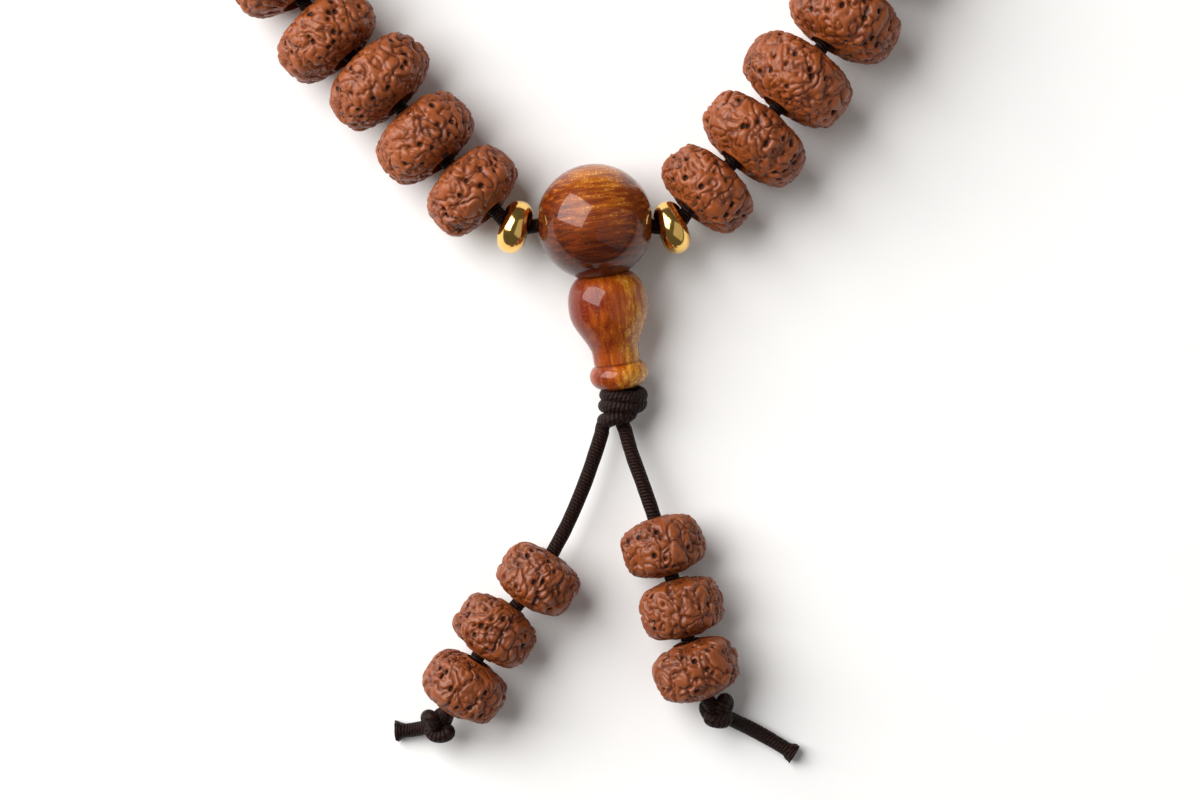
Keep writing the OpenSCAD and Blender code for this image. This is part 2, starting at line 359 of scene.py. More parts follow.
def addEndKnot(side, spin):  # a tight overhand knot: a three-lobed turn of the same cord
    low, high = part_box(f"tail_knot_{side}")
    tailPlaces = tails[side][1]
    centre = (low + high) / 2
    near = min(range(len(tailPlaces)), key=lambda i: (tailPlaces[i] - centre).length)
    way = (tailPlaces[min(near + 8, len(tailPlaces) - 1)] - tailPlaces[near - 8]).normalized()
    place = turnedTo(centre, way)
    lobe, twist = endKnot["lobe"], endKnot["twist"]
    points = []
    for i in range(endKnot["points"]):
        t = 2 * math.pi * i / endKnot["points"]
        x = lobe * (math.sin(t + spin) + twist * math.sin(2 * t + spin))
        y = lobe * (math.cos(t + spin) - twist * math.cos(2 * t + spin))
        points.append(place @ Vector((x, y, -endKnot["height"] * math.sin(3 * t))))
    piece, _, _ = braidedTube(f"tailKnot_{side}", points, cordMaterial, closed=True)
    standFor(piece, f"tail_{side}", "braided_cord", f"tail_knot_{side}")
    return piece


endKnots = {"left": addEndKnot("left", 0.4), "right": addEndKnot("right", 1.3)}

# The pendant's line runs down from the guru bead through the gourd bead to the main knot
pendant = Vector(jointByChild["gourd"]["axis"]).normalized()
if pendant.y > 0:
    pendant = -pendant
pendantSide = Vector((0, 0, 1)).cross(pendant).normalized()  # points to the right, seen from above
pendantUp = pendant.cross(pendantSide).normalized()
if pendantUp.z < 0:
    pendantUp = -pendantUp


def onPendant(along, sideways=0.0, up=0.0):
    return guruCentre + pendant * along * mm + pendantSide * sideways * mm + pendantUp * up * mm


mainKnot = {
    "wraps": [  # place along the line, sideways, size across, size up, lean
        (14.35, 0.1, 1.38, 1.3, -0.22), (15.1, -0.1, 1.42, 1.3, -0.1), (15.95, -0.7, 1.1, 1.25, 0.25),
    ],
    "wrapPoints": 20, "waver": 0.12, "strandLean": {"left": -0.25, "right": 0.45},
    "strandRun": [(14.4, 0.4, 0.0), (15.0, 0.7, 0.6), (15.7, 1.0, 1.0)],  # along, share of the lean, up
}


def addMainKnot():
    pieces = []
    for number, (along, sideways, wide, high, lean) in enumerate(mainKnot["wraps"]):
        points = []
        for i in range(mainKnot["wrapPoints"]):
            a = 2 * math.pi * i / mainKnot["wrapPoints"]
            down = along - lean * math.cos(a) + mainKnot["waver"] * math.sin(2 * a)
            points.append(onPendant(down, sideways + wide * math.cos(a), high * math.sin(a)))
        piece, _, _ = braidedTube(f"mainKnotWrap_{number + 1}", points, cordMaterial, closed=True)
        pieces.append(piece)
    for side, lean in mainKnot["strandLean"].items():
        start = tails[side][1][0]
        ahead = (tails[side][1][8] - start).normalized()
        points = [onPendant(along, lean * share, up) for along, share, up in mainKnot["strandRun"]]
        points += [start - ahead * 0.7 * mm, start + ahead * 0.25 * mm]
        piece, _, _ = braidedTube(f"mainKnotStrand_{side}", points, cordMaterial)
        pieces.append(piece)
    for piece in pieces:
        standFor(piece, "core", "braided_cord", "main_knot")


addMainKnot()


# loop cord: both strands down the pendant and the whole run through the seeds
def beadPlace(node):
    low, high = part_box(node)
    return (low + high) / 2


seedNames = [f"bead_{i:02d}" for i in range(1, 28)]
loopCord = {"apart": 0.65, "strandPlaces": (13.9, 11, 8, 5, 2.6), "sides": 16, "step": 0.16 * mm}


def addLoopCord():
    run = [beadPlace(name) for name in ["spacer_left"] + seedNames + ["spacer_right"]]
    strands = []
    for way in (-1, 1):
        strand = [onPendant(along, way * loopCord["apart"]) for along in loopCord["strandPlaces"]]
        strand += [guruCentre + Vector(place) * mm for place in ((way * 1.2, -0.8, 0), (way * 3, -0.1, -0.1))]
        strands.append(strand)
    left, right = strands
    between = []
    for a, b in zip(run, run[1:]):
        between += [a, (a + b) / 2]
    points = left + between + [run[-1]] + right[::-1]
    sides, step = loopCord["sides"], loopCord["step"]
    piece, _, length = braidedTube("loopCord", points, cordMaterial, sides=sides, step=step)
    standFor(piece, "core", "braided_cord", "loop_cord")
    return length


print("knots tied, loop cord mm:", round(addLoopCord() / mm))

# seeds
seed = {
    "fullness": 2.6, "bore": 1.38, "tailBore": 1.1, "boreRows": 8,
    "faceShare": 0.6, "facePush": 0.03, "rimPush": 0.3, "tailRimPush": 0.14, "shoulderPush": 0.14,
    "deepest": 1.0,
    "fineSteps": 250, "fineOutline": 116, "plainSteps": 150, "plainOutline": 70,
    "fineSeeds": 5,  # seeds each side of the guru bead that get the finer mesh
    "blankRadius": 4.4, "blankLength": 5.3,
    "stretch": 0.8, "warp": 0.6, "fineWarp": 0.1, "wander": 0.3, "fineWander": 0.07, "swell": 0.3,
    "valleySpacing": 1.2, "valleyWidth": 0.42, "valleyDepth": 0.46, "slitWidth": 0.06, "slitDepth": 0.08,
    "knobSpacing": 0.92, "knobWidth": 0.5, "knobDepth": 0.36,
    "foldSpacing": 0.75, "foldWidth": 0.12, "foldDepth": 0.14,
    "seams": 5, "seamWidth": 0.11, "seamDepth": 0.36, "shelf": 0.16,
    "pitSpacing": 0.86, "pitShare": 0.8, "pitWidth": 0.19, "pitDepth": 0.9,
}


def makeNoiseTables():
    draw = np.random.default_rng(11)
    slopes = draw.normal(size=(256, 3))
    slopes /= np.linalg.norm(slopes, axis=1, keepdims=True)
    return draw.permutation(256), slopes, draw.uniform(0.08, 0.92, (256, 3))


shuffled, slopes, scatter = makeNoiseTables()


def cellNumber(cells):
    x, y, z = (cells[:, k] & 255 for k in range(3))
    return shuffled[(shuffled[(shuffled[x] + y) & 255] + z) & 255]


def softNoise(points):  # smooth noise from about -1 to 1, for many points at once
    cells = np.floor(points).astype(int)
    parts = points - cells
    ease = parts ** 3 * (parts * (parts * 6 - 15) + 10)
    total = np.zeros(len(points))
    for corner in itertools.product((0, 1), repeat=3):
        corner = np.array(corner)
        weight = np.prod(np.where(corner, ease, 1 - ease), axis=1)
        total += weight * np.sum(slopes[cellNumber(cells + corner)] * (parts - corner), axis=1)
    return total * 1.7


def softNoise3(points):
    return np.stack([softNoise(points + shift) for shift in (13.7, 41.3, 77.9)], axis=1)


def scatteredSpots(points, share=1.0):  # distances to the nearest and the next of a scatter of spots
    cells = np.floor(points).astype(int)
    near = np.full(len(points), 9.0)
    nextNear = np.full(len(points), 9.0)
    for offset in itertools.product((-1, 0, 1), repeat=3):
        here = cells + np.array(offset)
        number = cellNumber(here)
        away = np.linalg.norm(points - here - scatter[number], axis=1)
        away = np.where(number < 256 * share, away, 9.0)
        nextNear = np.minimum(nextNear, np.maximum(near, away))
        near = np.minimum(near, away)
    return near, nextNear


def ramp(low, high, values):
    share = np.clip((values - low) / (high - low), 0, 1)
    return share * share * (3 - 2 * share)


def groove(away, width):  # 0 on a rounded crest and 1 down in the crease between two
    slope = 1 - np.clip(away / width, 0, 1)
    return 1 - np.sqrt(1 - slope ** 2)


# How far each point of a seed sinks, how hollow it is there and how far the nearest pit is, in mm. The
# material paints shade into the seed's colour where it is hollow and in the pits.
def seedRelief(points, normals, shift, rimPush):
    angle = np.arctan2(points[:, 1], points[:, 0])
    reach = np.hypot(points[:, 0], points[:, 1])
    q = points * np.array([1, 1, seed["stretch"]]) + shift
    warped = q + softNoise3(q * 0.75) * seed["warp"] + softNoise3(q * 2.3) * seed["fineWarp"]
    swell = 0.5 + 0.5 * softNoise(q * 0.5 + 5.5)
    lobe = np.abs(softNoise(warped / seed["valleySpacing"]))
    valley = groove(lobe, seed["valleyWidth"])
    slit = np.exp(-lobe / seed["slitWidth"])
    near, nextNear = scatteredSpots(warped / seed["knobSpacing"] + 31.0)
    knobby = ramp(-0.35, 0.25, softNoise(q * 0.55 + 21.0))
    knob = groove(nextNear - near, seed["knobWidth"]) * knobby
    wobble = angle + seed["wander"] * softNoise(q * 0.5 + 2.2) + seed["fineWander"] * softNoise(q * 1.9 + 9.1)
    foldPlace = np.stack([np.cos(wobble) * 3.6, np.sin(wobble) * 3.6, points[:, 2] * 0.2 + shift[0]], axis=1)
    folded = ramp(0.1, -0.35, softNoise(q * 0.45 + 51.0))
    ridge = np.abs(softNoise(foldPlace / seed["foldSpacing"] + shift))
    fold = np.exp(-ridge / seed["foldWidth"]) * folded
    lane = 2 * math.pi / seed["seams"]
    turn = wobble / lane + 0.5
    fromSeam = np.abs(turn % 1 - 0.5) * lane * reach
    seam = np.exp(-(fromSeam / seed["seamWidth"]) ** 2)
    shelf = (turn + 0.5) % 1 - 0.5
    shelf = np.sign(shelf) * np.exp(-np.abs(shelf) * 6)
    spots, _ = scatteredSpots(q / seed["pitSpacing"] + 61.0, seed["pitShare"])
    toPit = spots * seed["pitSpacing"]
    pit = np.exp(-(toPit / seed["pitWidth"]) ** 2)
    sink = seed["swell"] * swell + seed["valleyDepth"] * valley + seed["slitDepth"] * slit
    sink += seed["knobDepth"] * knob + seed["foldDepth"] * fold + seed["seamDepth"] * seam
    sink += seed["pitDepth"] * pit + seed["shelf"] * 0.5 * (1 + shelf)
    sink = seed["deepest"] * (1 - np.exp(-sink / seed["deepest"]))
    outward = 1 - normals[:, 2] ** 2  # 0 on the faces round the hole, 1 at the widest place
    sink = sink * (seed["faceShare"] + (1 - seed["faceShare"]) * outward)
    sink -= seed["facePush"] + (rimPush - seed["facePush"]) * outward
    sink -= seed["shoulderPush"] * 4 * outward * (1 - outward)
    # hollow: how deep a point lies in a valley, slit, knob crease, fold, seam or pit; the seed material
    # paints shade with it and makes the surface rougher there
    hollow = np.clip(0.4 * valley + 0.1 * slit + 0.34 * knob + 0.2 * fold + 0.4 * seam + 0.45 * pit, 0, 1)
    return sink, hollow, toPit


def evenly(outline, rows):  # the same outline with its points spread at even distances
    travelled = [0.0]
    for a, b in zip(outline, outline[1:]):
        travelled.append(travelled[-1] + math.dist(a, b))
    places = []
    k = 0
    for i in range(rows + 1):
        goal = travelled[-1] * i / rows
        while k < len(travelled) - 2 and travelled[k + 1] < goal:
            k += 1
        share = (goal - travelled[k]) / (travelled[k + 1] - travelled[k])
        a, b = outline[k], outline[k + 1]
        places.append((a[0] + (b[0] - a[0]) * share, a[1] + (b[1] - a[1]) * share))
    return places


def spinBlank(steps, rows):  # a smooth drilled seed of middling size, which each seed starts from
    bore = seed["bore"]
    places = evenly(beadOutline(seed["blankRadius"], seed["blankLength"], bore, seed["fullness"], rows), rows)
    top, bottom = places[0][1], places[-1][1]
    for i in range(1, seed["boreRows"]):
        places.append((bore, bottom + (top - bottom) * i / seed["boreRows"]))
    bm = bmesh.new()
    spinAround(bm, places, steps)
    bmesh.ops.recalc_face_normals(bm, faces=bm.faces)
    return bm


def wrinkledSeed(node, name, material, bore, rimPush, blank, number):
    cad = frame["nodes"][node]
    centre = beadPlace(node)
    axis = Vector(jointByChild[node]["axis"]).normalized()
    offsets = [vert.co - centre for vert in cad.data.vertices]
    along = [offset.dot(axis) for offset in offsets]
    length = (max(along) - min(along)) / mm
    radius = max((offset - axis * axis.dot(offset)).length for offset in offsets) / mm
    bm = blank.copy()
    blankBore = seed["bore"]
    growth = (radius - bore) / (seed["blankRadius"] - blankBore)
    for vert in bm.verts:
        reach = math.hypot(vert.co.x, vert.co.y)
        wider = (bore + (reach - blankBore) * growth) / reach
        vert.co = (vert.co.x * wider, vert.co.y * wider, vert.co.z * length / seed["blankLength"])
    bm.normal_update()
    draw = random.Random(number)
    shift = np.array([draw.uniform(-90, 90) for _ in range(3)])
    points = np.array([vert.co for vert in bm.verts])
    normals = np.array([vert.normal for vert in bm.verts])
    sink, hollow, toPit = seedRelief(points, normals, shift, rimPush)
    fade = ramp(bore * 0.99, bore * 1.35, np.hypot(points[:, 0], points[:, 1]))
    moved = points - normals * (sink * fade)[:, None]
    # the painted shade from the hollows fades to half towards the bore
    hollow = hollow * (0.5 + 0.5 * fade)
    hollowLayer = bm.verts.layers.float.new("hollow")
    pitLayer = bm.verts.layers.float.new("toPit")
    for vert, place, deep, spot in zip(bm.verts, moved.tolist(), hollow.tolist(), toPit.tolist()):
        vert.co = place
        vert[hollowLayer] = deep
        vert[pitLayer] = spot
    spin = draw.uniform(0, 2 * math.pi)
    bm.transform(turnedTo(centre, axis) @ Matrix.Rotation(spin, 4, "Z") @ Matrix.Scale(mm, 4))
    return newPiece(name, bm, material)


def makeSeedToneWithPaintedShade():
    tree, start, end = startGroup(
        "seedToneWithPaintedShade",
        [("Crest", "NodeSocketColor", (0.4, 0.14, 0.06, 1)),
         ("Flank", "NodeSocketColor", (0.2, 0.06, 0.025, 1)),
         ("Paintedshade", "NodeSocketColor", (0.03, 0.008, 0.004, 1)),
         ("Gloss", "NodeSocketFloat", 0.4)],
        [("Color", "NodeSocketColor"), ("Roughness", "NodeSocketFloat"), ("Height", "NodeSocketFloat")],
    )
    # the hollow attribute is the mask for painted shade in the creases and pits
    hollow = addNode(tree, "ShaderNodeAttribute", -1200, 400, attribute_name="hollow")
    toPit = addNode(tree, "ShaderNodeAttribute", -1200, 100, attribute_name="toPit")
    place = addNode(tree, "ShaderNodeTexCoord", -1400, -200)
    patches = addNode(tree, "ShaderNodeTexNoise", -1200, -200)
    patches.inputs["Scale"].default_value = 450
    patches.inputs["Detail"].default_value = 4
    grain = addNode(tree, "ShaderNodeTexNoise", -1200, -450)
    grain.inputs["Scale"].default_value = 2200
    grain.inputs["Detail"].default_value = 5
    for texture in (patches, grain):
        tree.links.new(place.outputs["Object"], texture.inputs["Vector"])
    # painted shade in the pits: full within 0.16 mm of a pit's centre and gone past 0.29 mm; the same mask
    # also sinks the bump there
    ragged = addMath(tree, "MULTIPLY_ADD", -1000, 100, grain.outputs["Fac"], 0.1, toPit.outputs["Fac"])
    hole = addNode(tree, "ShaderNodeMapRange", -800, 100, interpolation_type="SMOOTHSTEP")
    hole.inputs["From Min"].default_value = 0.29
    hole.inputs["From Max"].default_value = 0.16
    tree.links.new(ragged, hole.inputs["Value"])
    # depth mixes the hollow attribute, which stands for painted shade, with random blotches of the seed's own
    # uneven tone
    blotch = addMath(tree, "MULTIPLY_ADD", -900, -200, patches.outputs["Fac"], 0.5, -0.25)
    depth = addMath(tree, "ADD", -700, 300, hollow.outputs["Fac"], blotch)
    upper = addNode(tree, "ShaderNodeMapRange", -500, 300)
    upper.inputs["From Min"].default_value = 0.05
    upper.inputs["From Max"].default_value = 0.5
    lower = addNode(tree, "ShaderNodeMapRange", -500, 0)
    lower.inputs["From Min"].default_value = 0.5
    lower.inputs["From Max"].default_value = 0.95
    for ranged in (upper, lower):
        tree.links.new(depth, ranged.inputs["Value"])
    # painted shade: the colour goes from Crest to Flank as the depth grows, and to the darkest colour in the
    # deepest creases and the pits
    paintedPitShade = addMath(tree, "MULTIPLY", -400, 150, hole.outputs["Result"], 0.9)
    deepest = addMath(tree, "MAXIMUM", -300, 0, lower.outputs["Result"], paintedPitShade)
    flank = addMix(tree, -100, 200, upper.outputs["Result"], start.outputs["Crest"], start.outputs["Flank"])
    tone = addMix(tree, 100, 200, deepest, flank, start.outputs["Paintedshade"])
    speckle = addNode(tree, "ShaderNodeMapRange", -500, -450)
    speckle.inputs["To Min"].default_value = 0.8
    speckle.inputs["To Max"].default_value = 1.16
    tree.links.new(grain.outputs["Fac"], speckle.inputs["Value"])
    grey = addNode(tree, "ShaderNodeCombineColor", -300, -450)
    for channel in ("Red", "Green", "Blue"):
        tree.links.new(speckle.outputs["Result"], grey.inputs[channel])
    tree.links.new(addMix(tree, 300, 200, 1.0, tone, grey.outputs["Color"], "MULTIPLY"), end.inputs["Color"])
    matt = addMath(tree, "MULTIPLY_ADD", 100, -200, deepest, 0.4, start.outputs["Gloss"])
    tree.links.new(matt, end.inputs["Roughness"])
    fine = addMath(tree, "MULTIPLY", 100, -500, grain.outputs["Fac"], 0.12)
    holes = addMath(tree, "MULTIPLY_ADD", 300, -400, hole.outputs["Result"], -1.0, fine)
    tree.links.new(holes, end.inputs["Height"])
    return tree


seedToneWithPaintedShade = makeSeedToneWithPaintedShade()


def makeSeedMaterial(name, look):
    material, tree, shader = startMaterial(name)
    colours = {tone.capitalize(): (*look[tone], 1) for tone in ("crest", "flank", "paintedshade")}
    tone = placeGroup(tree, seedToneWithPaintedShade, -400, 0, Gloss=look["gloss"], **colours)
    tree.links.new(tone.outputs["Color"], shader.inputs["Base Color"])
    tree.links.new(tone.outputs["Roughness"], shader.inputs["Roughness"])
    shader.inputs["Coat Weight"].default_value = look["coat"]
    shader.inputs["Coat Roughness"].default_value = 0.45
    shader.inputs["Specular IOR Level"].default_value = 0.42
    bump = addNode(tree, "ShaderNodeBump", -150, -300)
    bump.inputs["Strength"].default_value = 0.8
    bump.inputs["Distance"].default_value = 0.2 * mm
    tree.links.new(tone.outputs["Height"], bump.inputs["Height"])
    tree.links.new(bump.outputs["Normal"], shader.inputs["Normal"])
    return material


# crest is the seed's own colour on its ridges; flank and the darkest colour are painted shade down into the
# creases and pits
loopSeedMaterial = makeSeedMaterial("waxedSeed", {
    "crest": (0.29, 0.068, 0.0135), "flank": (0.135, 0.026, 0.0042), "paintedshade": (0.018, 0.0032, 0.0007),
    "gloss": 0.44, "coat": 0.1,
})
tailSeedMaterial = makeSeedMaterial("polishedTailSeed", {
    "crest": (0.24, 0.055, 0.01), "flank": (0.11, 0.021, 0.0036), "paintedshade": (0.016, 0.003, 0.0007),
    "gloss": 0.42, "coat": 0.12,
})


def addSeeds():
    fineBlank = spinBlank(seed["fineSteps"], seed["fineOutline"])
    plainBlank = spinBlank(seed["plainSteps"], seed["plainOutline"])
    shown = seed["fineSeeds"]
    for number, node in enumerate(seedNames, 1):
        blank = fineBlank if number <= shown or number > len(seedNames) - shown else plainBlank
        name = f"seed_{number:02d}"
        piece = wrinkledSeed(node, name, loopSeedMaterial, seed["bore"], seed["rimPush"], blank, number)
        standFor(piece, node, "rudraksha_seed", node)
    for side, first in (("left", 40), ("right", 50)):
        for number in (1, 2, 3):
            node = f"tail_bead_{side}_{number}"
            piece = wrinkledSeed(node, f"tailSeed_{side}_{number}", tailSeedMaterial, seed["tailBore"],
                                 seed["tailRimPush"], fineBlank, first + number)
            standFor(piece, node, "tail_seed", node)
    fineBlank.free()
    plainBlank.free()


addSeeds()
print("seeds wrinkled")


# amber guru and gourd beads
def makeAmberStreaks():  # bands and glitter that run along one axis of the bead, with a painted glow of light added
    tree, start, end = startGroup(
        "amberStreaks",
        [("Vector", "NodeSocketVector", (0, 0, 0)), ("Round", "NodeSocketVector", (0, 0, 0)),
         ("Glitter", "NodeSocketFloat", 1.0), ("PaintedGlow", "NodeSocketFloat", 0.5),
         ("Dark", "NodeSocketColor", (0.05, 0.012, 0.002, 1)),
         ("Warm", "NodeSocketColor", (0.3, 0.08, 0.008, 1)),
         ("Bright", "NodeSocketColor", (0.85, 0.4, 0.05, 1))],
        [("Color", "NodeSocketColor"), ("Flecks", "NodeSocketFloat")],
    )
    bands = addNode(tree, "ShaderNodeTexNoise", -900, 300)
    bands.inputs["Scale"].default_value = 1.0
    bands.inputs["Detail"].default_value = 7
    bands.inputs["Roughness"].default_value = 0.6
    bands.inputs["Distortion"].default_value = 0.3
    tree.links.new(start.outputs["Vector"], bands.inputs["Vector"])
    clouds = addNode(tree, "ShaderNodeTexNoise", -900, 600)  # wide lighter and darker places
    clouds.inputs["Scale"].default_value = 1.1
    clouds.inputs["Detail"].default_value = 2
    tree.links.new(start.outputs["Round"], clouds.inputs["Vector"])
    cloudy = addMath(tree, "SUBTRACT", -800, 600, clouds.outputs["Fac"], 0.5)
    # the clouds are the resin's own uneven tone; the glow input adds a painted glow of light on top
    glow = addMath(tree, "MULTIPLY_ADD", -700, 600, cloudy, 1.1, start.outputs["PaintedGlow"])
    raised = addMath(tree, "MULTIPLY_ADD", -650, 500, glow, 0.5, -0.25)
    lit = addMath(tree, "ADD", -600, 400, bands.outputs["Fac"], raised)
    lower = addNode(tree, "ShaderNodeMapRange", -400, 450)
    lower.inputs["From Min"].default_value = 0.28
    lower.inputs["From Max"].default_value = 0.58
    upper = addNode(tree, "ShaderNodeMapRange", -400, 150)
    upper.inputs["From Min"].default_value = 0.55
    upper.inputs["From Max"].default_value = 0.86
    for ranged in (lower, upper):
        tree.links.new(lit, ranged.inputs["Value"])
    warm = addMix(tree, -200, 450, lower.outputs["Result"], start.outputs["Dark"], start.outputs["Warm"])
    bright = addMix(tree, 0, 300, upper.outputs["Result"], warm, start.outputs["Bright"])
    fleck = addNode(tree, "ShaderNodeTexVoronoi", -700, -200, feature="F1")
    fleck.inputs["Scale"].default_value = 24.0
    tree.links.new(start.outputs["Round"], fleck.inputs["Vector"])
    spark = addNode(tree, "ShaderNodeMapRange", -500, -200)
    spark.inputs["From Min"].default_value = 0.5
    spark.inputs["From Max"].default_value = 0.2
    tree.links.new(fleck.outputs["Distance"], spark.inputs["Value"])
    chosen = addNode(tree, "ShaderNodeSeparateColor", -500, -450)
    tree.links.new(fleck.outputs["Color"], chosen.inputs["Color"])
    some = addMath(tree, "GREATER_THAN", -300, -450, chosen.outputs["Red"], 0.6)
    sparks = addMath(tree, "MULTIPLY", -200, -200, spark.outputs["Result"], some)
    flecks = addMath(tree, "MULTIPLY", -100, -200, sparks, start.outputs["Glitter"])
    # the flecks are kept to the bright bands, which the painted glow of light also lightens and spreads
    banded = addMath(tree, "MULTIPLY_ADD", -100, -50, upper.outputs["Result"], 1.2, 0.05)
    inBands = addMath(tree, "MULTIPLY", 50, -200, flecks, banded)
    spotted = addMix(tree, 250, 200, inBands, bright, (0.95, 0.6, 0.18))
    tree.links.new(spotted, end.inputs["Color"])
    tree.links.new(inBands, end.inputs["Flecks"])
    return tree


amberStreaks = makeAmberStreaks()


def makeAmberMaterial(name, look):
    material, tree, shader = startMaterial(name)
    place = addNode(tree, "ShaderNodeTexCoord", -1600, 0)
    vectors = []
    for scale, height in ((look["streak"], 0), ((look["reach"],) * 3, -400)):
        mapping = addNode(tree, "ShaderNodeMapping", -1400, height, vector_type="TEXTURE")
        mapping.inputs["Location"].default_value = look["centre"]
        mapping.inputs["Rotation"].default_value = (0, 0, look["turn"])
        mapping.inputs["Scale"].default_value = [value * mm for value in scale]
        tree.links.new(place.outputs["Object"], mapping.inputs["Vector"])
        vectors.append(mapping.outputs["Vector"])
    # painted glow of light: the resin is painted lighter towards a set side of the bead, on top of an overall
    # level
    toLight = addNode(tree, "ShaderNodeVectorMath", -1100, -400, operation="DOT_PRODUCT")
    tree.links.new(vectors[1], toLight.inputs[0])
    toLight.inputs[1].default_value = look["paintedGlowSide"]
    glow = addMath(tree, "ADD", -900, -400, toLight.outputs["Value"], look["glow"])
    colours = {tone.capitalize(): (*look[tone], 1) for tone in ("dark", "warm", "bright")}
    streaks = placeGroup(tree, amberStreaks, -500, 0, Glitter=look["glitter"], **colours)
    tree.links.new(vectors[0], streaks.inputs["Vector"])
    tree.links.new(vectors[1], streaks.inputs["Round"])
    tree.links.new(glow, streaks.inputs["PaintedGlow"])
    tree.links.new(streaks.outputs["Color"], shader.inputs["Base Color"])
    shine = addNode(tree, "ShaderNodeMapRange", -200, -200)
    shine.inputs["To Min"].default_value = 0.5
    shine.inputs["To Max"].default_value = 0.25
    tree.links.new(streaks.outputs["Flecks"], shine.inputs["Value"])
    tree.links.new(shine.outputs["Result"], shader.inputs["Roughness"])
    metal = addMath(tree, "MULTIPLY", -200, -400, streaks.outputs["Flecks"], 0.5)
    tree.links.new(metal, shader.inputs["Metallic"])
    shader.inputs["Specular IOR Level"].default_value = 0.12
    shader.inputs["Coat Weight"].default_value = 1.0
    shader.inputs["Coat Roughness"].default_value = 0.03
    shader.inputs["Coat IOR"].default_value = 1.35
    return material


# Each bead's painted glow of light: an overall level and a side painted lighter, roughly towards +Y and the
# top for the guru bead and towards +X for the gourd bead
guruMaterial = makeAmberMaterial("amberBand", {
    "centre": guruCentre, "turn": math.radians(7), "streak": (3.2, 0.3, 0.8), "reach": 4.75,
    "glow": 0.25, "paintedGlowSide": (0.1, 0.46, 0.3), "glitter": 0.6,
    "dark": (0.05, 0.0055, 0.0003), "warm": (0.2, 0.032, 0.0012), "bright": (0.52, 0.165, 0.011),
})
gourdMaterial = makeAmberMaterial("amberGourd", {
    "centre": onPendant(9), "turn": math.radians(9), "streak": (0.5, 3.4, 0.8), "reach": 3.3,
    "glow": 0.42, "paintedGlowSide": (0.5, -0.12, 0.05), "glitter": 1.5,
    "dark": (0.15, 0.012, 0.0004), "warm": (0.36, 0.068, 0.002), "bright": (0.7, 0.36, 0.03),
})

gourd = {
    "crownTop": 3.85, "crownFullness": 2.6, "bellyAt": 7.1, "neckAt": 10.7, "flangeAt": 12.6,
    "flangeThick": 2.1, "belly": 3.25, "neck": 1.9, "flange": 2.4, "bore": 1.4,
    "lip": 0.15, "gap": 0.1, "rise": 0.14, "steps": 112,
    "crownRows": 26, "flangeRows": 24, "flangeFrom": -68,  # degrees, up to 90 at the end face
}


def crownOutline(grow, start, rows):  # the gourd bead's rounded top, from a radius out to its belly
    power = 2 / gourd["crownFullness"]
    belly, rise = gourd["belly"] + grow, gourd["bellyAt"] - gourd["crownTop"] + grow
    first = math.asin((start / belly) ** (1 / power))
    outline = []
    for i in range(rows + 1):
        a = first + (math.pi / 2 - first) * i / rows
        height = gourd["bellyAt"] - rise * max(0.0, math.cos(a)) ** power
        outline.append((belly * math.sin(a) ** power, height))
    return outline


def spunPiece(name, outline, steps, centre, axis, material):  # an outline in mm, turned round an axis
    bm = bmesh.new()
    spinAround(bm, [(across * mm, height * mm) for across, height in outline], steps)
    bmesh.ops.remove_doubles(bm, verts=bm.verts, dist=1e-7)
    bmesh.ops.recalc_face_normals(bm, faces=bm.faces)
    bm.transform(turnedTo(centre, axis))
    return newPiece(name, bm, material)


def sharpen(piece):  # smooth shading everywhere but at hard edges
    bm = bmesh.new()
    bm.from_mesh(piece.data)
    for edge in bm.edges:
        edge.smooth = len(edge.link_faces) == 2 and edge.calc_face_angle(0) < math.radians(35)
    bm.to_mesh(piece.data)
    bm.free()


guru = {"steps": 144, "rows": 72, "bore": 1.1, "lip": 0.16, "dishSteps": 96, "dishRows": 14, "dishFrom": 0.3}


def addGuruBead():
    radius = (guruHigh.z - guruLow.z) / 2 / mm
    bore, lip = guru["bore"], guru["lip"]
    outline = beadOutline(radius, 2 * radius, bore + lip, 2, guru["rows"])
    edge = math.sqrt(radius ** 2 - (bore + lip) ** 2)
    rounded = []
    for degrees in (20, 40, 60, 80):
        a = math.radians(degrees)
        rounded.append((bore + lip * (1 - math.sin(a)), edge - lip * (1 - math.cos(a))))
    outline += [(across, -height) for across, height in rounded]
    outline += [(bore, -edge + lip * 1.4), (bore, 0.0), (bore, edge - lip * 1.4)] + rounded[::-1]
    piece = spunPiece("guruBead", outline, guru["steps"], guruCentre, (1, 0, 0), guruMaterial)
    # The gourd bead sits in a dish, with the hole for both strands behind it
    start = guru["dishFrom"]
    cutterOutline = [(0.0, start), (gourd["bore"], start)]
    cutterOutline += crownOutline(gourd["gap"], gourd["bore"], guru["dishRows"])
    cutterOutline.append((0.0, gourd["bellyAt"]))
    cutter = spunPiece("guruCutter", cutterOutline, guru["dishSteps"], guruCentre, pendant, guruMaterial)
    dishCut = piece.modifiers.new("dish", "BOOLEAN")
    dishCut.operation = "DIFFERENCE"
    dishCut.solver = "EXACT"
    dishCut.object = cutter
    graph = bpy.context.evaluated_depsgraph_get()
    mesh = bpy.data.meshes.new_from_object(piece.evaluated_get(graph))
    piece.modifiers.clear()
    piece.data = mesh
    bpy.data.objects.remove(cutter)
    sharpen(piece)
    standFor(piece, "core", "amber_resin", "guru_bead")


def neckRadius(at):
    share = min(1, (at - gourd["bellyAt"]) / (gourd["neckAt"] - gourd["bellyAt"]))
    swell = 0.5 + 0.5 * math.cos(math.pi * share)
    return gourd["neck"] + (gourd["belly"] - gourd["neck"]) * swell ** 0.8


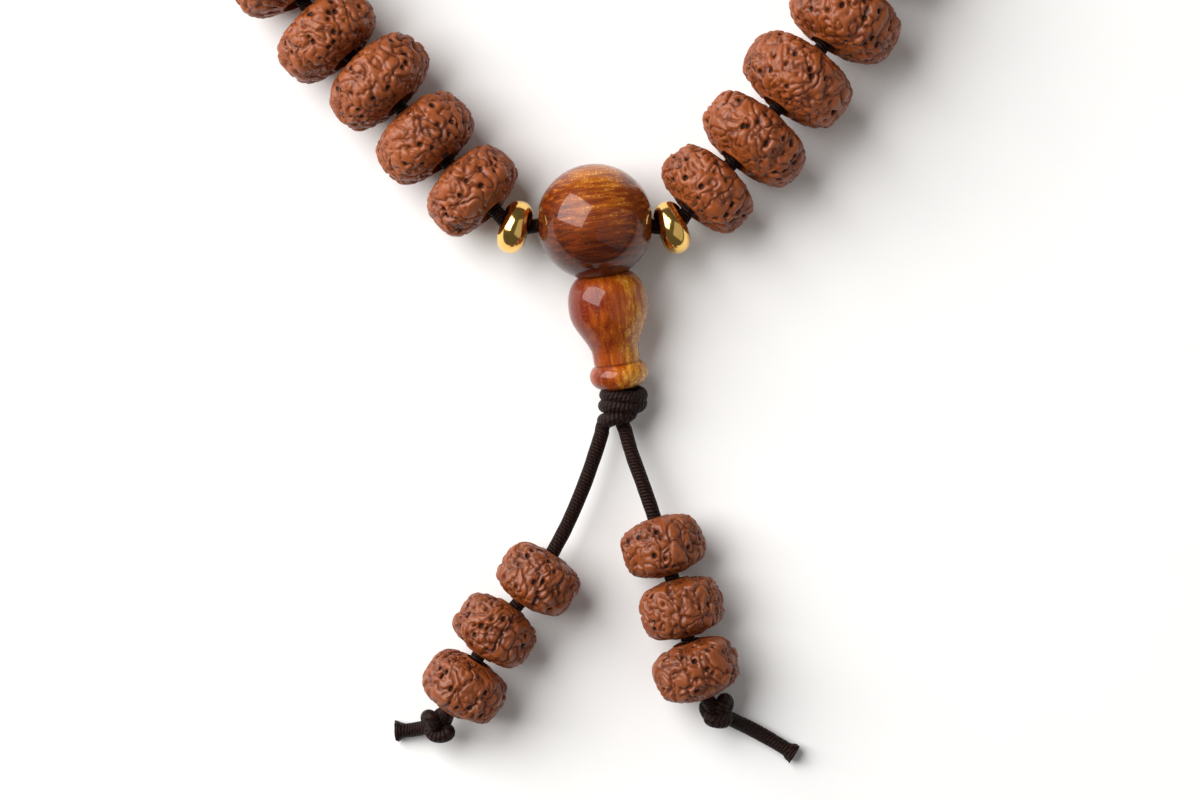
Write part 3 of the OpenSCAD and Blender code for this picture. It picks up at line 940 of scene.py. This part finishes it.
def addGourdBead():
    bore, lip = gourd["bore"], gourd["lip"]
    outline = crownOutline(0.0, bore + lip, gourd["crownRows"])
    ring = gourd["flangeThick"] / 2
    middle = gourd["flange"] - ring
    at = gourd["bellyAt"] + gourd["rise"]
    while at < gourd["flangeAt"] - ring * 0.93:
        outline.append((neckRadius(at), at))
        at += gourd["rise"]
    sweep = 90 - gourd["flangeFrom"]
    for i in range(gourd["flangeRows"] + 1):
        a = math.radians(gourd["flangeFrom"] + sweep * i / gourd["flangeRows"])
        outline.append((middle + ring * math.cos(a), gourd["flangeAt"] + ring * math.sin(a)))
    end = gourd["flangeAt"] + ring
    outline += [(bore + lip, end - 0.01), (bore + 0.04, end - 0.06), (bore, end - lip)]
    top = outline[0][1]
    outline += [(bore, 10.0), (bore, 7.0), (bore, top + lip), (bore + 0.04, top + 0.05)]
    piece = spunPiece("gourdBead", outline, gourd["steps"], guruCentre, pendant, gourdMaterial)
    standFor(piece, "gourd", "amber_resin", "gourd_bead")


addGuruBead()
addGourdBead()
print("amber beads turned")


# gold spacers
def makeGoldMaterial():
    material, tree, shader = startMaterial("polishedGold")
    place = addNode(tree, "ShaderNodeTexCoord", -900, 0)
    dents = addNode(tree, "ShaderNodeTexNoise", -700, 0)
    dents.inputs["Scale"].default_value = 900
    dents.inputs["Detail"].default_value = 2
    scuffs = addNode(tree, "ShaderNodeTexNoise", -700, -300)
    scuffs.inputs["Scale"].default_value = 5000
    scuffs.inputs["Detail"].default_value = 4
    for texture in (dents, scuffs):
        tree.links.new(place.outputs["Object"], texture.inputs["Vector"])
    tone = addMix(tree, -300, 100, dents.outputs["Fac"], (1.0, 0.68, 0.22), (0.9, 0.54, 0.14))
    tree.links.new(tone, shader.inputs["Base Color"])
    rough = addNode(tree, "ShaderNodeMapRange", -400, -300)
    rough.inputs["To Min"].default_value = 0.06
    rough.inputs["To Max"].default_value = 0.2
    tree.links.new(scuffs.outputs["Fac"], rough.inputs["Value"])
    tree.links.new(rough.outputs["Result"], shader.inputs["Roughness"])
    shader.inputs["Metallic"].default_value = 1.0
    bump = addNode(tree, "ShaderNodeBump", -200, -500)
    bump.inputs["Strength"].default_value = 0.35
    bump.inputs["Distance"].default_value = 0.06 * mm
    tree.links.new(dents.outputs["Fac"], bump.inputs["Height"])
    tree.links.new(bump.outputs["Normal"], shader.inputs["Normal"])
    return material


goldMaterial = makeGoldMaterial()
spacer = {"diameter": 4.4, "length": 2.7, "bore": 2.7, "fullness": 2.3, "rows": 40, "steps": 96}


def addSpacer(side):
    node = f"spacer_{side}"
    bore = spacer["bore"] / 2
    outline = beadOutline(spacer["diameter"] / 2, spacer["length"], bore, spacer["fullness"], spacer["rows"])
    edgeHeight = outline[0][1]
    outline += [(bore, -edgeHeight * share) for share in (0.85, 0.3, -0.3, -0.85)]
    axis = jointByChild[node]["axis"]
    piece = spunPiece(f"goldSpacer_{side}", outline, spacer["steps"], beadPlace(node), axis, goldMaterial)
    standFor(piece, node, "gold_plate", node)


addSpacer("left")
addSpacer("right")
print("gold spacers placed")


# table and light
studio = {
    "tableSize": 0.75, "aim": (0, -0.01, 0), "worldColour": (1.0, 0.95, 0.88, 1), "worldStrength": 0.1,
    "softboxes": [  # name, place, size, power, colour
        ("keySoftbox", (-0.44, 0.22, 0.44), (0.62, 0.78), 9.6, (1.0, 0.985, 0.96)),
        ("fillSoftbox", (0.48, -0.15, 0.5), (1.0, 1.0), 1.2, (1.0, 0.99, 0.97)),
    ],
}


def makeTableMaterial():
    material, tree, shader = startMaterial("whiteTable")
    place = addNode(tree, "ShaderNodeTexCoord", -700, 0)
    paper = addNode(tree, "ShaderNodeTexNoise", -500, 0)
    paper.inputs["Scale"].default_value = 60
    paper.inputs["Detail"].default_value = 8
    tree.links.new(place.outputs["Object"], paper.inputs["Vector"])
    stops = [(0.3, (0.89, 0.89, 0.9)), (0.7, (0.93, 0.93, 0.935))]
    tone = addRamp(tree, -300, 0, paper.outputs["Fac"], stops)
    tree.links.new(tone, shader.inputs["Base Color"])
    shader.inputs["Roughness"].default_value = 0.6
    return material


def addTable():
    bm = bmesh.new()
    bmesh.ops.create_grid(bm, x_segments=1, y_segments=1, size=studio["tableSize"])
    piece = newPiece("table", bm, makeTableMaterial(), smooth=False)


def addSoftbox(name, place, size, power, colour):
    data = bpy.data.lights.new(name, "AREA")
    data.shape = "RECTANGLE"
    data.size, data.size_y = size
    data.energy = power
    data.color = colour
    light = bpy.data.objects.new(name, data)
    light.location = place
    light.rotation_euler = (Vector(studio["aim"]) - Vector(place)).to_track_quat("-Z", "Y").to_euler()
    bpy.context.scene.collection.objects.link(light)


addTable()
world = bpy.data.worlds.new("studio")
bpy.context.scene.world = world
world.use_nodes = True
background = world.node_tree.nodes["Background"]
background.inputs["Color"].default_value = studio["worldColour"]
background.inputs["Strength"].default_value = studio["worldStrength"]
for softbox in studio["softboxes"]:
    addSoftbox(*softbox)
bpy.context.scene.view_settings.view_transform = "Standard"
